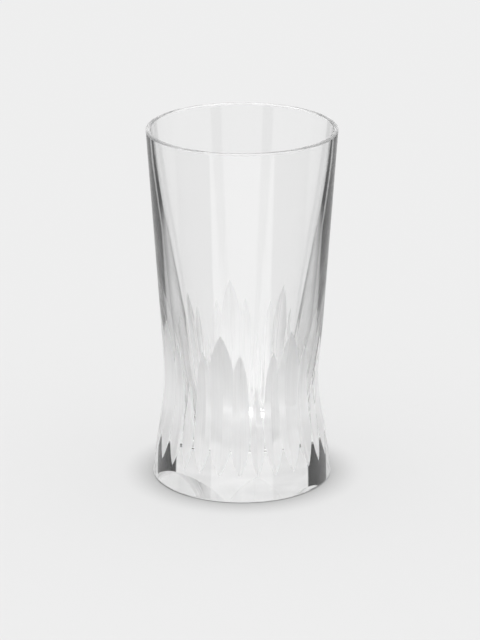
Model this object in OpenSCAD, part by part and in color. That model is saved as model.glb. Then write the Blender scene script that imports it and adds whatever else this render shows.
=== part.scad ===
// Mixing glass: one piece of thick clear glass with a waist, and a band of V-wheel cuts around it.
// Z is the glass's own axis. The resting face is at z = 0, and the front of the glass is -Y.

/* [Outside of the glass] */

// Height from the resting face to the top of the rim (mm)
height = 168; // [160:1:176]
// Outside radius at the rim (mm)
rim_radius = 44.1; // [43.8:0.1:44.6]
// Outward slope of the body above the waist (mm of radius for each mm of height)
body_slope = 0.068; // [0.064:0.001:0.072]
// Outside radius at the resting face, before the bevel (mm)
base_radius = 42; // [41.6:0.1:42.4]
// Height of the foot, the steep cone just above the resting face (mm)
foot_height = 13; // [11:0.5:14]
// Outside radius at the top of the foot (mm)
foot_top_radius = 40.5; // [40.2:0.1:40.8]
// Inward slope of the flare between the foot and the waist (mm of radius for each mm of height)
flare_slope = 0.148; // [0.14:0.002:0.156]
// Radius of the arc that rounds the waist, seen from the side (mm)
waist_arc_radius = 112; // [100:4:124]

/* [Inside of the glass] */

// Wall thickness at the rim (mm)
rim_wall = 2.1; // [1.9:0.1:2.1]
// Radius of the rounded top of the rim (mm)
rim_round = 1.1; // [1.1:0.05:1.2]
// Height where the inside changes from the mouth's slope to the well's slope (mm)
well_top_height = 140; // [134:1:144]
// Inside radius at that height (mm)
well_top_radius = 38.9; // [38.4:0.1:39.1]
// Inside slope of the well, which narrows toward the floor (mm of radius for each mm of height)
well_slope = 0.155; // [0.15:0.001:0.16]
// Height of the floor of the well above the resting face (mm)
floor_height = 17; // [15:0.5:20]
// Radius of the rounded corner between the floor and the wall of the well (mm)
floor_corner_radius = 8; // [6:0.5:9]

/* [Bevel under the foot] */

// How far the bevel reaches in from the foot's edge (mm)
bevel_width = 1; // [0.8:0.1:1.2]
// How far the bevel reaches up the side of the foot (mm)
bevel_height = 0.9; // [0.7:0.1:1.1]

/* [Cuts] */

// Number of repeats of the pattern around the glass, each with one tall, two short and one tiny cut
repeats = 7; // [6:1:7]
// Angle of the first tall cut from the front of the glass, toward +X (degrees)
first_cut_angle = -15.1; // [-20:0.1:20]
// Angle between a tall cut and the short cuts on its two sides (degrees)
short_spacing = 13.6; // [12.8:0.1:14]
// Height of the top tip of a tall cut (mm)
tall_tip_height = 80; // [76:0.5:84]
// Height of the top tip of a short cut (mm)
short_tip_height = 71; // [68:0.5:74]
// Height of the top tip of a tiny cut (mm)
tiny_tip_height = 55; // [52:0.5:59]
// Height of the bottom tips, the same for all cuts (mm)
low_tip_height = 12; // [11:0.5:13]
// Radius of the cutting wheel at the edge of its V (mm)
wheel_radius = 104; // [100:1:110]
// Half of the angle between the wheel's two V faces (degrees)
wheel_half_angle = 69.5; // [68.5:0.5:70.5]

/* [Hidden] */

$fn = 120;

// Colour of the glass in the quick view
glass_colour = [0.86, 0.92, 0.92];
// Extra length that takes a cutting shape clear of the faces it opens (mm)
clear = 3;

// Where the bevel's middle corner sits, as parts of the bevel's width and height.
bevel_middle = [0.65, 0.28];

// The flare and the body would meet at this height and radius if the waist weren't rounded.
corner_height = (foot_top_radius + flare_slope * foot_height - rim_radius + body_slope * height)
    / (flare_slope + body_slope);
corner_radius = rim_radius - body_slope * (height - corner_height);

// An arc is drawn this much larger than its tangent size, so it meets the straight faces at clean edges.
bite = 0.03;
flare_lean = atan(flare_slope);
body_lean = atan(body_slope);
half_bend = (flare_lean + body_lean) / 2;
tangent_length = waist_arc_radius * tan(half_bend);
flare_end = [corner_radius + tangent_length * sin(flare_lean), corner_height - tangent_length * cos(flare_lean)];
body_start = [corner_radius + tangent_length * sin(body_lean), corner_height + tangent_length * cos(body_lean)];
arc_distance = waist_arc_radius / cos(half_bend);
arc_tilt = (flare_lean - body_lean) / 2;
arc_centre = [corner_radius + arc_distance * cos(arc_tilt), corner_height + arc_distance * sin(arc_tilt)];

// Inside slope of the mouth, from the top of the well to the rim.
mouth_radius = rim_radius - rim_wall;
mouth_slope = (mouth_radius - well_top_radius) / (height - well_top_height);

// Radius where the floor and the wall of the well would meet without their rounded corner.
floor_radius = well_top_radius - well_slope * (well_top_height - floor_height);
well_lean = atan(well_slope);
well_corner_centre = [
    floor_radius - floor_corner_radius * tan(45 - well_lean / 2),
    floor_height + floor_corner_radius
];

// Outside radius of the uncut glass at height z.
function uncut_radius(z) =
    z < foot_height ? base_radius + (foot_top_radius - base_radius) * z / foot_height
    : z < flare_end[1] ? foot_top_radius - flare_slope * (z - foot_height)
    : z > body_start[1] ? rim_radius - body_slope * (height - z)
    : arc_centre[0] - sqrt(pow(waist_arc_radius + bite, 2) - pow(z - arc_centre[1], 2));

// Centre of the wheel whose edge passes through the glass's surface at both tips, as [radius, height].
function wheel_centre(top) =
    let (a = [uncut_radius(low_tip_height), low_tip_height], b = [uncut_radius(top), top])
    let (along = (b - a) / norm(b - a), out = [along[1], -along[0]])
    (a + b) / 2 + out * sqrt(pow(wheel_radius, 2) - pow(norm(b - a) / 2, 2));

// Side view of the outside, from the axis outward, with the waist still filled by a straight chord.
module outside_profile() {
    bevel_start = base_radius - bevel_width;
    bevel_end = uncut_radius(bevel_height);
    polygon([
        [0, 0],
        [bevel_start, 0],
        [bevel_start + bevel_middle[0] * bevel_width, bevel_middle[1] * bevel_height],
        [bevel_end, bevel_height],
        [foot_top_radius, foot_height],
        flare_end,
        body_start,
        [rim_radius + body_slope * clear, height + clear],
        [0, height + clear]
    ]);
}

// Side view of the well and the mouth above it.
module inside_profile() {
    difference() {
        polygon([
            [-clear, floor_height],
            [floor_radius, floor_height],
            [well_top_radius, well_top_height],
            [mouth_radius + mouth_slope * 2 * clear, height + 2 * clear],
            [-clear, height + 2 * clear]
        ]);
        floor_corner();
    }
}

// The glass left in the corner of the well, between the floor, the wall and the corner arc.
module floor_corner() {
    difference() {
        polygon([
            [well_corner_centre[0], floor_height - clear],
            [floor_radius + 2 * clear, floor_height - clear],
            well_corner_centre + 2 * floor_corner_radius * [cos(well_lean), -sin(well_lean)],
            well_corner_centre
        ]);
        translate(well_corner_centre) circle(r = floor_corner_radius + bite);
    }
}

// Everything under the rounded top of the rim.
module rim_limit() {
    level = height - rim_round;
    outer = rim_radius - body_slope * rim_round;
    inner = mouth_radius - mouth_slope * rim_round;
    square([rim_radius + clear, level]);
    translate([(outer + inner) / 2, level]) circle(r = rim_round);
}

// The whole glass before the cuts.
module blank() {
    rotate_extrude()
        intersection() {
            difference() {
                outside_profile();
                translate(arc_centre) circle(r = waist_arc_radius + bite);
                inside_profile();
            }
            rim_limit();
        }
}

// One cut, made by the rim of a large V-edged wheel whose axis is level.
module cut(top) {
    centre = wheel_centre(top);
    face_depth = 3;
    half_width = face_depth * tan(wheel_half_angle);
    back = wheel_radius - 2 * face_depth;
    sweep = 46;
    translate([centre[0], 0, centre[1]])
        rotate([90, 0, 180])
            rotate([0, 0, -sweep / 2])
                rotate_extrude(angle = sweep)
                    polygon([
                        [wheel_radius, 0],
                        [wheel_radius - face_depth, half_width],
                        [back, half_width],
                        [back, -half_width],
                        [wheel_radius - face_depth, -half_width]
                    ]);
}

// One repeat of the pattern, with its tall cut on +X.
module cut_group() {
    cut(tall_tip_height);
    rotate([0, 0, short_spacing]) cut(short_tip_height);
    rotate([0, 0, -short_spacing]) cut(short_tip_height);
    rotate([0, 0, 180 / repeats]) cut(tiny_tip_height);
}

module glass_body() {
    color(glass_colour)
        difference() {
            blank();
            for (k = [0 : repeats - 1])
                rotate([0, 0, -90 + first_cut_angle + k * 360 / repeats]) cut_group();
        }
}

glass_body();
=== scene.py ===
import math

import bpy
import numpy as np
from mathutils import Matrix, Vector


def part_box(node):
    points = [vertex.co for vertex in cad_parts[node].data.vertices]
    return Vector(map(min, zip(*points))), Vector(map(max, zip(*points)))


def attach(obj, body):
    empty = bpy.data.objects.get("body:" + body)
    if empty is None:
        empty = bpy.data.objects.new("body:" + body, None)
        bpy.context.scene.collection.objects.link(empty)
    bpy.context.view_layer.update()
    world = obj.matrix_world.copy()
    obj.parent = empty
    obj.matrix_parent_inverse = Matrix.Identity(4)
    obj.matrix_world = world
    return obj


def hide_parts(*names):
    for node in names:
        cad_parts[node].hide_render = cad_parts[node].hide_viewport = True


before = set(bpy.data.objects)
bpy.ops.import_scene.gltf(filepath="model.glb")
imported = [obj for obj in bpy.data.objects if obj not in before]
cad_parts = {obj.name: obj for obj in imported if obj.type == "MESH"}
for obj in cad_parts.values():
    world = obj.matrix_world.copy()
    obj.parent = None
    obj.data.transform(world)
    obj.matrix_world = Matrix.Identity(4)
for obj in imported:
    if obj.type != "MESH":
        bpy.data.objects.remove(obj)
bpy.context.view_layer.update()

# The glass's own sizes, in millimetres, as in part.scad. The frame gives its height. BASE_EDGE_RADIUS
# rounds the edge that part.scad bevels.
MM = 0.001
HEIGHT = round(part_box("glass_body")[1].z / MM)
BASE_RADIUS = 42.0
FOOT_HEIGHT = 13.0
FOOT_TOP_RADIUS = 40.5
FLARE_SLOPE = 0.148
BODY_SLOPE = 0.068
RIM_RADIUS = 44.1
RIM_WALL = 2.1
WELL_TOP_HEIGHT = 140.0
WELL_TOP_RADIUS = 38.9
WELL_SLOPE = 0.155
FLOOR_HEIGHT = 17.0
FLOOR_CORNER_RADIUS = 8.0
BASE_EDGE_RADIUS = 0.9

# How far each side of its corner a bend in the profile reaches, along the glass's axis.
FOOT_BEND = 6.0
WAIST_BEND = 12.0
WELL_BEND = 16.0

# The cuts.
REPEATS = 7
FIRST_CUT_ANGLE = -15.1
SHORT_SPACING = 13.6
TALL_TIP, SHORT_TIP, TINY_TIP = 80.0, 71.0, 55.0
LOW_TIP = 12.0
WHEEL_RADIUS = 104.0
WHEEL_HALF_ANGLE = 69.5
WHEEL_SLOPE = 1 / math.tan(math.radians(WHEEL_HALF_ANGLE))
# No cut reaches further than this to either side of its middle, in radians.
WIDEST_HALF_CUT = 0.3

# How finely the mesh is drawn: columns in half a cut and in a gap, and millimetres between rows.
CUT_COLUMNS = 4
GAP_COLUMNS = 8
FOOT_ROW = 1.0
CUT_ROW = 0.5
PLAIN_ROW = 3.0
ARC_STEP = math.radians(12)
# Columns whose angles agree to this many digits share a corner.
ANGLE_DIGITS, KEY_DIGITS = 8, 7
# A wall whose normal points outward by more than this is the glass's outside.
FACES_OUT = 0.5

# The clear glass. A reflection keeps this share of the light, give or take a slow drift. Real glass keeps
# all that it reflects, so this isn't physical: it was chosen for the look of the thick wall.
GLASS_IOR = 1.52
KEPT = 0.76
KEPT_DRIFT, DRIFT_SCALE, DRIFT_DETAIL = 0.03, 60.0, 1.0

# A noise pattern mostly fills this part of its 0 to 1 range.
NOISE_LOW, NOISE_HIGH = 0.3, 0.7
# Patterns follow the glass round a circle of this radius in metres, and stretch by these shares going up.
PATTERN_RADIUS = 0.04
LINES_UP, CLOUDS_UP, RIM_UP = 0.03, 0.5, 1.0

# The cuts' satin: its roughness, its fine lines, its clouds and its milkiness.
SMOOTHEST, ROUGHEST = 0.28, 0.44
LINE_SCALE, LINE_DETAIL, LINE_DEPTH, DULLEST_LINE = 1000.0, 3.0, 0.00004, 0.88
CLOUD_SCALE, CLOUD_DETAIL = 90.0, 2.0
MILK, MILK_LINES, MILK_CLOUDS = 0.72, 0.18, 0.05
# The share of the light scattered by a milky surface that goes on through it.
THROUGH = 0.65

# The rim's hazy edge, and how far it reaches down from the top, in millimetres.
RIM_HAZE, RIM_CLOUDS, DULLEST_RIM = 0.45, 0.1, 0.96
RIM_BAND = 1.6

# The studio's brightness by elevation: all round, then above the horizon, then overhead.
AROUND, HORIZON, OVERHEAD = 0.855, 1.05, 3.3
# Where each of the two starts, and how softly, in degrees.
HORIZON_FROM, OVERHEAD_FROM = (5, 5), (38, 14)

# The panels. Azimuth is 0 straight in front and behind and 90 at the sides. A span is a start and its
# softness, then an end and its softness, in degrees.
FRONT, STRIP = 0.1, 2.4
FRONT_UP, STRIP_HALF, STRIP_SOFT, HALF_ROOM_SOFT = (-60, 6, 12, 6), 40, 2, 3
FLAG, FLAG_AROUND, FLAG_UP = 0.02, (26, 1.5, 40, 1.5), (-31, 3, 3, 3)
SIDE_FLAG, SIDE_FLAG_AROUND, SIDE_FLAG_UP = 0.04, (40, 1, 74, 1), (2, 3, 34, 8)

# The floor: its albedo and its own glow, then its half width and its level in metres, a hair under the
# glass. Under that, how far the painted contact shadow in its glow reaches, in metres, and its samples.
FLOOR_ALBEDO, FLOOR_EMISSION, FLOOR_HALF, FLOOR_LEVEL = 0.11, 0.59, 12.0, -0.0001
PAINTED_SHADOW_REACH, PAINTED_SHADOW_SAMPLES = 0.016, 8

# The camera: place in metres, tilt down in degrees, lens and sensor in millimetres, clipping in metres.
CAMERA_PLACE = (-0.00092, -1.44917, 0.57428)
CAMERA_TILT = 19.013
LENS, SENSOR = 185.1, 36
CLIP_START, CLIP_END = 0.05, 50

# Light bounces many times inside the thick wall before it leaves.
MANY_BOUNCES, DIFFUSE_BOUNCES = 256, 8


class Profile:
    """A radius that follows straight lines, each pair joined by a smooth bend, in millimetres."""

    def __init__(self, start, slope, bends):
        self.start, self.slope, self.bends = start, slope, bends

    def radius(self, z):
        r = self.start[1] + self.slope * (z - self.start[0])
        for corner, new_slope, old_slope, reach in self.bends:
            into = np.clip(z - corner + reach, 0, 2 * reach)
            beyond = np.maximum(z - corner - reach, 0)
            r = r + (new_slope - old_slope) * (into**2 / (4 * reach) + beyond)
        return r

    def slope_at(self, z):
        slope = self.slope
        for corner, new_slope, old_slope, reach in self.bends:
            turned = np.clip((z - corner + reach) / (2 * reach), 0, 1)
            slope = slope + (new_slope - old_slope) * turned
        return slope


FOOT_SLOPE = (FOOT_TOP_RADIUS - BASE_RADIUS) / FOOT_HEIGHT
FLARE_AT_TABLE = FOOT_TOP_RADIUS + FLARE_SLOPE * FOOT_HEIGHT
BODY_AT_TABLE = RIM_RADIUS - BODY_SLOPE * HEIGHT
WAIST_HEIGHT = (FLARE_AT_TABLE - BODY_AT_TABLE) / (FLARE_SLOPE + BODY_SLOPE)
FOOT_TO_FLARE = (FOOT_HEIGHT, -FLARE_SLOPE, FOOT_SLOPE, FOOT_BEND)
FLARE_TO_BODY = (WAIST_HEIGHT, BODY_SLOPE, -FLARE_SLOPE, WAIST_BEND)
OUTSIDE = Profile((0.0, BASE_RADIUS), FOOT_SLOPE, [FOOT_TO_FLARE, FLARE_TO_BODY])
MOUTH_SLOPE = (RIM_RADIUS - RIM_WALL - WELL_TOP_RADIUS) / (HEIGHT - WELL_TOP_HEIGHT)
FLOOR_RADIUS = WELL_TOP_RADIUS - WELL_SLOPE * (WELL_TOP_HEIGHT - FLOOR_HEIGHT)
WELL_TO_MOUTH = (WELL_TOP_HEIGHT, MOUTH_SLOPE, WELL_SLOPE, WELL_BEND)
INSIDE = Profile((FLOOR_HEIGHT, FLOOR_RADIUS), WELL_SLOPE, [WELL_TO_MOUTH])


def cut_pattern():
    """Each cut's angle in radians, counted from +X, and its top tip's height, in order round the glass."""
    turn = 360 / REPEATS
    group = [
        (0.0, TALL_TIP),
        (SHORT_SPACING, SHORT_TIP),
        (turn / 2, TINY_TIP),
        (turn - SHORT_SPACING, SHORT_TIP),
    ]
    cuts = [(FIRST_CUT_ANGLE - 90 + k * turn + a, top) for k in range(REPEATS) for a, top in group]
    return np.array([[math.radians(a), top] for a, top in cuts])


CUTS = cut_pattern()
CUT_ANGLE, CUT_TOP = CUTS[:, 0], CUTS[:, 1]
SPACING = np.diff(np.append(CUT_ANGLE, CUT_ANGLE[0] + 2 * math.pi))


def wheel_centres():
    """Distance from the axis and height of each cut's wheel, whose edge passes through both tips."""
    low = np.array([OUTSIDE.radius(LOW_TIP), LOW_TIP])
    tops = np.stack([OUTSIDE.radius(CUT_TOP), CUT_TOP], -1)
    chord = np.linalg.norm(tops - low, axis=1)[:, None]
    along = (tops - low) / chord
    out = np.stack([along[:, 1], -along[:, 0]], -1)
    return (tops + low) / 2 + out * np.sqrt(WHEEL_RADIUS**2 - chord**2 / 4)


WHEEL = wheel_centres()


def cut_radius(cut, angle, z):
    """Radius of a cut's face at an angle from its middle, in either direction."""
    a, dz = WHEEL[cut, 0], z - WHEEL[cut, 1]
    c, s = np.cos(angle), np.abs(np.sin(angle))
    quad = c**2 - (s * WHEEL_SLOPE) ** 2
    half = a * c - WHEEL_RADIUS * s * WHEEL_SLOPE
    rest = a**2 + dz**2 - WHEEL_RADIUS**2
    return (half - np.sqrt(np.maximum(half**2 - quad * rest, 0))) / quad


def bisect(below, low, high, steps=40):
    """Where a condition stops holding between two arrays of values."""
    for _ in range(steps):
        mid = (low + high) / 2
        under = below(mid)
        low, high = np.where(under, mid, low), np.where(under, high, mid)
    return (low + high) / 2


def cut_edges(z):
    """Angle from each cut's middle to its left edge and to its right edge, at one height."""
    n = len(CUTS)
    index = np.arange(n)
    live = (CUT_TOP > z) & (z > LOW_TIP)
    none, widest = np.zeros(n), np.full(n, WIDEST_HALF_CUT)
    reach = bisect(lambda a: cut_radius(index, a, z) < OUTSIDE.radius(z), none, widest)
    reach = np.where(live, reach, 0.0)
    after = (index + 1) % n
    right, left_of_next = reach.copy(), reach[after].copy()
    meet = (right + left_of_next > SPACING) & live & live[after]
    ridge = bisect(lambda a: cut_radius(index, a, z) < cut_radius(after, SPACING - a, z), none, SPACING)
    right = np.where(meet, ridge, right)
    left_of_next = np.where(meet, SPACING - ridge, left_of_next)
    return np.roll(left_of_next, 1), right


def row_angles(z):
    """Column angles round the glass at a height, with each column's own cut (-1 on plain glass)."""
    left, right = cut_edges(z)
    columns = []
    for k in range(len(CUTS)):
        after = (k + 1) % len(CUTS)
        middle, end = CUT_ANGLE[k], CUT_ANGLE[k] + SPACING[k]
        columns += list(np.linspace(middle, middle + right[k], CUT_COLUMNS, endpoint=False))
        columns += list(np.linspace(middle + right[k], end - left[after], GAP_COLUMNS, endpoint=False))
        columns += list(np.linspace(end - left[after], end, CUT_COLUMNS, endpoint=False))
    return np.array(columns)


PER_CUT = 2 * CUT_COLUMNS + GAP_COLUMNS


def column_kind(column):
    """The cut and its side, +1 or -1, for the faces right of a column, or (-1, 0) on plain glass."""
    k, c = divmod(column, PER_CUT)
    if c < CUT_COLUMNS:
        return k, 1
    if c < CUT_COLUMNS + GAP_COLUMNS:
        return -1, 0
    return (k + 1) % len(CUTS), -1


def arc(centre, radius, start, end):
    """Profile points along an arc, as (radius, height, normal's radius part, normal's height part)."""
    steps = max(2, math.ceil(abs(end - start) / ARC_STEP))
    return [
        (centre[0] + radius * math.cos(a), centre[1] + radius * math.sin(a), math.cos(a), math.sin(a))
        for a in np.linspace(start, end, steps + 1)
    ]


def wall(profile, heights, outward):
    """Profile points along a wall, with normals that point out of the glass."""
    points = []
    for z in heights:
        lean = math.atan(profile.slope_at(z))
        points.append((float(profile.radius(z)), z, outward * math.cos(lean), -outward * math.sin(lean)))
    return points


def heights_between(low, high, step):
    return list(np.linspace(low, high, max(2, math.ceil((high - low) / step) + 1)))


def profile_rows():
    """The whole outline: from under the middle, up the outside, over the rim and down to the well's floor."""
    rows = [(0.0, 0.0, 0.0, -1.0)]
    foot_lean = math.atan(FOOT_SLOPE)
    edge_radius = float(OUTSIDE.radius(BASE_EDGE_RADIUS)) - BASE_EDGE_RADIUS / math.cos(foot_lean)
    foot_arc = arc((edge_radius, BASE_EDGE_RADIUS), BASE_EDGE_RADIUS, -math.pi / 2, -foot_lean)
    rows += foot_arc

    body_lean, mouth_lean = math.atan(BODY_SLOPE), math.atan(MOUTH_SLOPE)
    rim = RIM_WALL / (1 / math.cos(body_lean) + 1 / math.cos(mouth_lean) + BODY_SLOPE - MOUTH_SLOPE)
    middle = (RIM_RADIUS - BODY_SLOPE * rim - rim / math.cos(body_lean), HEIGHT - rim)
    rim_arc = arc(middle, rim, -body_lean, math.pi - mouth_lean)

    low = foot_arc[-1][1]
    up = heights_between(low, LOW_TIP, FOOT_ROW)[1:]
    up += heights_between(LOW_TIP, TALL_TIP, CUT_ROW)[1:]
    up += heights_between(TALL_TIP, rim_arc[0][1], PLAIN_ROW)[1:-1]
    rows += wall(OUTSIDE, up, 1)
    rows += rim_arc

    well_lean = math.atan(WELL_SLOPE)
    corner = (
        FLOOR_RADIUS - FLOOR_CORNER_RADIUS * math.tan(math.pi / 4 - well_lean / 2),
        FLOOR_HEIGHT + FLOOR_CORNER_RADIUS,
    )
    floor_arc = [
        (r, z, -nr, -nz) for r, z, nr, nz in arc(corner, FLOOR_CORNER_RADIUS, -well_lean, -math.pi / 2)
    ]
    rows += wall(INSIDE, heights_between(floor_arc[0][1], rim_arc[-1][1], PLAIN_ROW)[-2:0:-1], -1)
    rows += floor_arc
    rows.append((0.0, FLOOR_HEIGHT, 0.0, 1.0))
    return rows


def glass_mesh(name):
    """The closed mesh of the glass, with crisp cuts and exact normals. Materials: 0 clear, 1 cuts, 2 rim."""
    rows = profile_rows()
    plain = row_angles(0.0)
    angle_of = [row_angles(z) if nr > FACES_OUT and LOW_TIP < z < TALL_TIP else plain for _, z, nr, _ in rows]
    points, ids, radii = [], [], []
    for (r, z, _, _), angles in zip(rows, angle_of, strict=True):
        ring = np.full(len(angles), r)
        if angles is not plain:
            for c in range(len(angles)):
                k = c // PER_CUT
                near = (k, (k + 1) % len(CUTS))
                offset = (angles[c] - CUT_ANGLE[k], CUT_ANGLE[k] + SPACING[k] - angles[c])
                for cut, away in zip(near, offset, strict=True):
                    if LOW_TIP < z < CUT_TOP[cut]:
                        ring[c] = min(ring[c], cut_radius(cut, away, z))
        if r == 0:
            keys = np.zeros(len(angles))
        else:
            keys = np.round(angles, ANGLE_DIGITS) % round(2 * math.pi, ANGLE_DIGITS)
        _, first, inverse = np.unique(np.round(keys, KEY_DIGITS), return_index=True, return_inverse=True)
        ids.append(inverse + len(points))
        radii.append(ring)
        for c in first:
            points.append((ring[c] * math.cos(angles[c]) * MM, ring[c] * math.sin(angles[c]) * MM, z * MM))

    faces, corners, kinds = [], [], []
    n = len(plain)
    kind_of = [column_kind(c) for c in range(n)]
    for j in range(len(rows) - 1):
        cut_row = angle_of[j] is not plain or angle_of[j + 1] is not plain
        for c in range(n):
            d = (c + 1) % n
            quad = [(j, c), (j, d), (j + 1, d), (j + 1, c)]
            kept = [q for i, q in enumerate(quad) if ids[q[0]][q[1]] != ids[quad[i - 1][0]][quad[i - 1][1]]]
            if len(kept) < 3 or len({ids[a][b] for a, b in kept}) < len(kept):
                continue
            faces.append([int(ids[a][b]) for a, b in kept])
            kind = kind_of[c] if cut_row else (-1, 0)
            corners += kept
            kinds += [kind] * len(kept)

    angle = np.array([angle_of[a][b] for a, b in corners])
    height = np.array([rows[a][1] for a, _ in corners])
    radius = np.array([radii[a][b] for a, b in corners])
    cut = np.array([k for k, _ in kinds])
    side = np.array([s for _, s in kinds])
    smooth = np.array([[rows[a][2], rows[a][3]] for a, _ in corners])
    normals = np.stack([smooth[:, 0] * np.cos(angle), smooth[:, 0] * np.sin(angle), smooth[:, 1]], -1)
    on_cut = cut >= 0
    middle = CUT_ANGLE[cut[on_cut]]
    away = angle[on_cut] - middle
    near = radius[on_cut] * np.cos(away)
    a, zk = WHEEL[cut[on_cut], 0], WHEEL[cut[on_cut], 1]
    dist = np.hypot(a - near, height[on_cut] - zk)
    n_out, n_side, n_up = (a - near) / dist, -side[on_cut] * WHEEL_SLOPE, -(height[on_cut] - zk) / dist
    normals[on_cut] = np.stack(
        [
            n_out * np.cos(middle) - n_side * np.sin(middle),
            n_out * np.sin(middle) + n_side * np.cos(middle),
            n_up,
        ],
        -1,
    )
    normals /= np.linalg.norm(normals, axis=1)[:, None]

    mesh = bpy.data.meshes.new(name)
    mesh.from_pydata(points, [], faces)
    mesh.polygons.foreach_set("use_smooth", np.ones(len(faces), bool))
    starts = np.cumsum([0] + [len(f) for f in faces[:-1]])
    rim = np.minimum.reduceat(height, starts) > HEIGHT - RIM_BAND
    mesh.polygons.foreach_set("material_index", (1 * (cut[starts] >= 0) + 2 * rim).astype(np.int32))
    mesh.normals_split_custom_set(normals.tolist())
    mesh.update()
    return mesh


def math_node(tree, operation, *values):
    """A Math node; each value is a number or the output of another node."""
    node = tree.nodes.new("ShaderNodeMath")
    node.operation = operation
    for socket, value in zip(node.inputs, values, strict=False):
        if isinstance(value, (int, float)):
            socket.default_value = value
        else:
            tree.links.new(value, socket)
    return node.outputs[0]


def spread(tree, value, low, high):
    """A noise pattern, spread over the range from low to high."""
    node = tree.nodes.new("ShaderNodeMapRange")
    tree.links.new(value, node.inputs["Value"])
    node.inputs["From Min"].default_value = NOISE_LOW
    node.inputs["From Max"].default_value = NOISE_HIGH
    node.inputs["To Min"].default_value = low
    node.inputs["To Max"].default_value = high
    return node.outputs["Result"]


def noise(tree, where, scale, detail):
    node = tree.nodes.new("ShaderNodeTexNoise")
    tree.links.new(where, node.inputs["Vector"])
    node.inputs["Scale"].default_value = scale
    node.inputs["Detail"].default_value = detail
    return node.outputs["Fac"]


def around_and_up(tree, up):
    """A place on the glass: its direction on a fixed circle round the axis, and its height times up."""
    place = tree.nodes.new("ShaderNodeTexCoord").outputs["Object"]
    split = tree.nodes.new("ShaderNodeSeparateXYZ")
    tree.links.new(place, split.inputs[0])
    squares = [math_node(tree, "POWER", split.outputs[axis], 2.0) for axis in "XY"]
    distance = math_node(tree, "SQRT", math_node(tree, "ADD", *squares))
    join = tree.nodes.new("ShaderNodeCombineXYZ")
    for axis in "XY":
        direction = math_node(tree, "DIVIDE", split.outputs[axis], distance)
        tree.links.new(math_node(tree, "MULTIPLY", direction, PATTERN_RADIUS), join.inputs[axis])
    tree.links.new(math_node(tree, "MULTIPLY", split.outputs["Z"], up), join.inputs["Z"])
    return join.outputs[0]


def bump(tree, height, depth):
    node = tree.nodes.new("ShaderNodeBump")
    node.inputs["Distance"].default_value = depth
    tree.links.new(height, node.inputs["Height"])
    return node.outputs["Normal"]


def new_material(name):
    material = bpy.data.materials.new(name)
    material.use_nodes = True
    tree = material.node_tree
    tree.nodes.remove(tree.nodes["Principled BSDF"])
    return material, tree


def mix_shaders(tree, share, first, second):
    """Two shaders, with this share of the second; the share is a number or the output of another node."""
    node = tree.nodes.new("ShaderNodeMixShader")
    if isinstance(share, float):
        node.inputs["Fac"].default_value = share
    else:
        tree.links.new(share, node.inputs["Fac"])
    tree.links.new(first, node.inputs[1])
    tree.links.new(second, node.inputs[2])
    return node.outputs[0]


def grey(tree, value):
    """A colour whose three channels follow one pattern."""
    node = tree.nodes.new("ShaderNodeCombineColor")
    for channel in node.inputs:
        tree.links.new(value, channel)
    return node.outputs[0]


def clear_shader(tree, kept):
    """Clear glass. A reflection keeps only part of the light, so rays trapped in the wall come out dark."""
    bend = tree.nodes.new("ShaderNodeBsdfRefraction")
    bend.inputs["Roughness"].default_value = 0.0
    bend.inputs["IOR"].default_value = GLASS_IOR
    mirror = tree.nodes.new("ShaderNodeBsdfAnisotropic")
    mirror.inputs["Roughness"].default_value = 0.0
    tree.links.new(grey(tree, kept), mirror.inputs["Color"])
    fresnel = tree.nodes.new("ShaderNodeFresnel")
    fresnel.inputs["IOR"].default_value = GLASS_IOR
    return mix_shaders(tree, fresnel.outputs[0], bend.outputs[0], mirror.outputs[0])


def milky_shader(tree, whiteness, normal=None):
    """Light scattered by a ground surface, some of it back and the rest through."""
    color = grey(tree, whiteness)
    back = tree.nodes.new("ShaderNodeBsdfDiffuse")
    through = tree.nodes.new("ShaderNodeBsdfTranslucent")
    for node in (back, through):
        tree.links.new(color, node.inputs["Color"])
        if normal:
            tree.links.new(normal, node.inputs["Normal"])
    return mix_shaders(tree, THROUGH, back.outputs[0], through.outputs[0])


def polished_glass():
    """The clear wall. How much light a reflection keeps drifts a little from place to place."""
    material, tree = new_material("polished_glass")
    place = tree.nodes.new("ShaderNodeTexCoord").outputs["Object"]
    drift = noise(tree, place, DRIFT_SCALE, DRIFT_DETAIL)
    shader = clear_shader(tree, spread(tree, drift, KEPT - KEPT_DRIFT, KEPT + KEPT_DRIFT))
    tree.links.new(shader, tree.nodes["Material Output"].inputs["Surface"])
    return material


def rim_glass():
    """The rim's rounded edge: clear, with a hazy finish that catches the light."""
    material, tree = new_material("rim_glass")
    clouds = noise(tree, around_and_up(tree, RIM_UP), CLOUD_SCALE, CLOUD_DETAIL)
    clear = clear_shader(tree, spread(tree, clouds, KEPT - KEPT_DRIFT, KEPT + KEPT_DRIFT))
    milky = milky_shader(tree, spread(tree, clouds, DULLEST_RIM, 1.0))
    haze = spread(tree, clouds, RIM_HAZE - RIM_CLOUDS, RIM_HAZE + RIM_CLOUDS)
    tree.links.new(mix_shaders(tree, haze, clear, milky), tree.nodes["Material Output"].inputs["Surface"])
    return material


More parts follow.
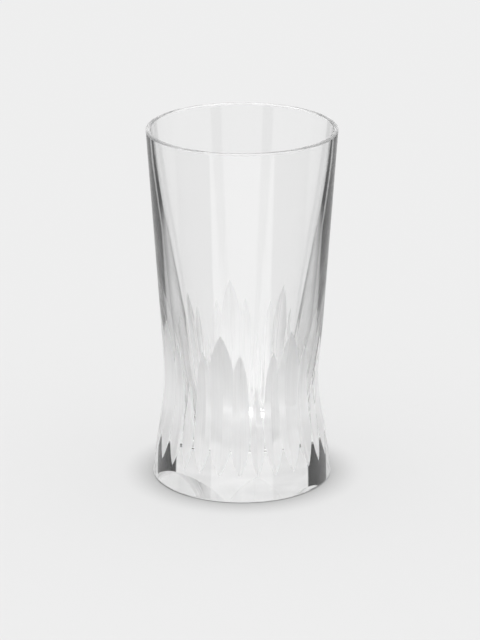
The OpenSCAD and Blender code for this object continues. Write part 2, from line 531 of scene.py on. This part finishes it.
def ground_glass():
    """The cuts' satin: fine upright lines, as a wheel leaves, over a slow change in how milky it is."""
    material, tree = new_material("ground_glass")
    lines = noise(tree, around_and_up(tree, LINES_UP), LINE_SCALE, LINE_DETAIL)
    clouds = noise(tree, around_and_up(tree, CLOUDS_UP), CLOUD_SCALE, CLOUD_DETAIL)
    normal = bump(tree, lines, LINE_DEPTH)
    rough = tree.nodes.new("ShaderNodeBsdfGlass")
    rough.distribution = "MULTI_GGX"
    rough.inputs["IOR"].default_value = GLASS_IOR
    tree.links.new(spread(tree, lines, SMOOTHEST, ROUGHEST), rough.inputs["Roughness"])
    tree.links.new(normal, rough.inputs["Normal"])
    milk_in_lines = spread(tree, lines, -MILK_LINES, MILK_LINES)
    milk_in_clouds = spread(tree, clouds, MILK - MILK_CLOUDS, MILK + MILK_CLOUDS)
    milk = math_node(tree, "ADD", milk_in_lines, milk_in_clouds)
    milky = milky_shader(tree, spread(tree, lines, DULLEST_LINE, 1.0), normal)
    shader = mix_shaders(tree, milk, rough.outputs[0], milky)
    tree.links.new(shader, tree.nodes["Material Output"].inputs["Surface"])
    return material


def make_glass():
    mesh = glass_mesh("mixing_glass")
    for material in (polished_glass(), ground_glass(), rim_glass()):
        mesh.materials.append(material)
    glass = bpy.data.objects.new("mixing_glass", mesh)
    bpy.context.scene.collection.objects.link(glass)
    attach(glass, "root")
    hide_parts("glass_body")


def make_floor():
    """A plain pale floor. Most of its brightness is its own glow, dimmed near the glass as a painted shadow.

    Rays that leave the glass skip it and meet the world's own lower half instead.
    """
    mesh = bpy.data.meshes.new("floor")
    corners = [(x * FLOOR_HALF, y * FLOOR_HALF, FLOOR_LEVEL) for x, y in ((-1, -1), (1, -1), (1, 1), (-1, 1))]
    mesh.from_pydata(corners, [], [(0, 1, 2, 3)])
    material = bpy.data.materials.new("floor")
    material.use_nodes = True
    shader = material.node_tree.nodes["Principled BSDF"]
    shader.inputs["Base Color"].default_value = (FLOOR_ALBEDO, FLOOR_ALBEDO, FLOOR_ALBEDO, 1)
    shader.inputs["Roughness"].default_value = 1.0
    shader.inputs["Specular IOR Level"].default_value = 0.0
    shader.inputs["Emission Color"].default_value = (1, 1, 1, 1)
    # Ambient occlusion dims the floor's glow near the glass: a painted contact shadow, not one cast by a
    # lamp.
    painted_contact_shadow = material.node_tree.nodes.new("ShaderNodeAmbientOcclusion")
    painted_contact_shadow.inputs["Distance"].default_value = PAINTED_SHADOW_REACH
    painted_contact_shadow.samples = PAINTED_SHADOW_SAMPLES
    glow_with_painted_shadow = math_node(material.node_tree, "MULTIPLY", painted_contact_shadow.outputs["AO"], FLOOR_EMISSION)
    material.node_tree.links.new(glow_with_painted_shadow, shader.inputs["Emission Strength"])
    mesh.materials.append(material)
    floor = bpy.data.objects.new("floor", mesh)
    bpy.context.scene.collection.objects.link(floor)
    floor.visible_transmission = False
    floor.visible_glossy = False


def make_world():
    """A pale studio, bright overhead, with dark and bright panels that only rays from the glass see."""
    world = bpy.data.worlds.new("studio")
    world.use_nodes = True
    tree = world.node_tree
    split = tree.nodes.new("ShaderNodeSeparateXYZ")
    tree.links.new(tree.nodes.new("ShaderNodeTexCoord").outputs["Generated"], split.inputs[0])
    x, y, z = split.outputs
    elevation = math_node(tree, "ARCSINE", z)
    azimuth = math_node(tree, "ARCTAN2", math_node(tree, "ABSOLUTE", x), math_node(tree, "ABSOLUTE", y))

    def above(angle, limit, softness):
        node = tree.nodes.new("ShaderNodeMapRange")
        node.interpolation_type = "SMOOTHSTEP"
        tree.links.new(angle, node.inputs["Value"])
        node.inputs["From Min"].default_value = math.radians(limit - softness)
        node.inputs["From Max"].default_value = math.radians(limit + softness)
        return node.outputs["Result"]

    def opposite(share):
        return math_node(tree, "SUBTRACT", 1.0, share)

    def below(angle, limit, softness):
        return opposite(above(angle, limit, softness))

    def both(first, second):
        return math_node(tree, "MULTIPLY", first, second)

    def within(angle, span):
        start, start_softness, end, end_softness = span
        return both(above(angle, start, start_softness), below(angle, end, end_softness))

    def paint(base, value, where):
        return math_node(tree, "ADD", both(base, opposite(where)), both(value, where))

    light = paint(AROUND, HORIZON, above(elevation, *HORIZON_FROM))
    light = paint(light, OVERHEAD, above(elevation, *OVERHEAD_FROM))

    # Every ray sees what is painted above, and only rays that last met the glass see the panels below. One
    # that it mirrored counts as glossy alone, and one that passed through, bent or scattered, as transmitted.
    rays = tree.nodes.new("ShaderNodeLightPath").outputs
    through = rays["Is Transmission Ray"]

    # What the glass mirrors from the front: a bright strip between two dark sides. This close to level, y is
    # its own angle in radians.
    in_front = both(below(y, 0, HALF_ROOM_SOFT), within(elevation, FRONT_UP))
    mirrored = both(in_front, both(rays["Is Glossy Ray"], opposite(through)))
    light = paint(light, FRONT, both(mirrored, above(azimuth, STRIP_HALF, STRIP_SOFT)))
    light = paint(light, STRIP, both(mirrored, below(azimuth, STRIP_HALF, STRIP_SOFT)))

    # What shows through the glass: in each quarter one dark flag low down, and one higher up and nearer the
    # side.
    low_flags = both(within(azimuth, FLAG_AROUND), within(elevation, FLAG_UP))
    light = paint(light, FLAG, both(low_flags, through))
    side_flags = both(within(azimuth, SIDE_FLAG_AROUND), within(elevation, SIDE_FLAG_UP))
    light = paint(light, SIDE_FLAG, both(side_flags, through))

    background = tree.nodes["Background"]
    background.inputs["Color"].default_value = (1, 1, 1, 1)
    tree.links.new(light, background.inputs["Strength"])
    bpy.context.scene.world = world


def make_camera():
    data = bpy.data.cameras.new("camera")
    data.sensor_width = SENSOR
    data.lens = LENS
    data.clip_start = CLIP_START
    data.clip_end = CLIP_END
    camera = bpy.data.objects.new("camera", data)
    bpy.context.scene.collection.objects.link(camera)
    camera.location = CAMERA_PLACE
    camera.rotation_euler = (math.radians(90 - CAMERA_TILT), 0, 0)
    bpy.context.scene.camera = camera


def set_render_looks():
    scene = bpy.context.scene
    scene.view_settings.view_transform = "Standard"
    scene.cycles.max_bounces = MANY_BOUNCES
    scene.cycles.transmission_bounces = MANY_BOUNCES
    scene.cycles.glossy_bounces = MANY_BOUNCES
    scene.cycles.diffuse_bounces = DIFFUSE_BOUNCES


make_camera()
make_world()
make_floor()
make_glass()
set_render_looks()
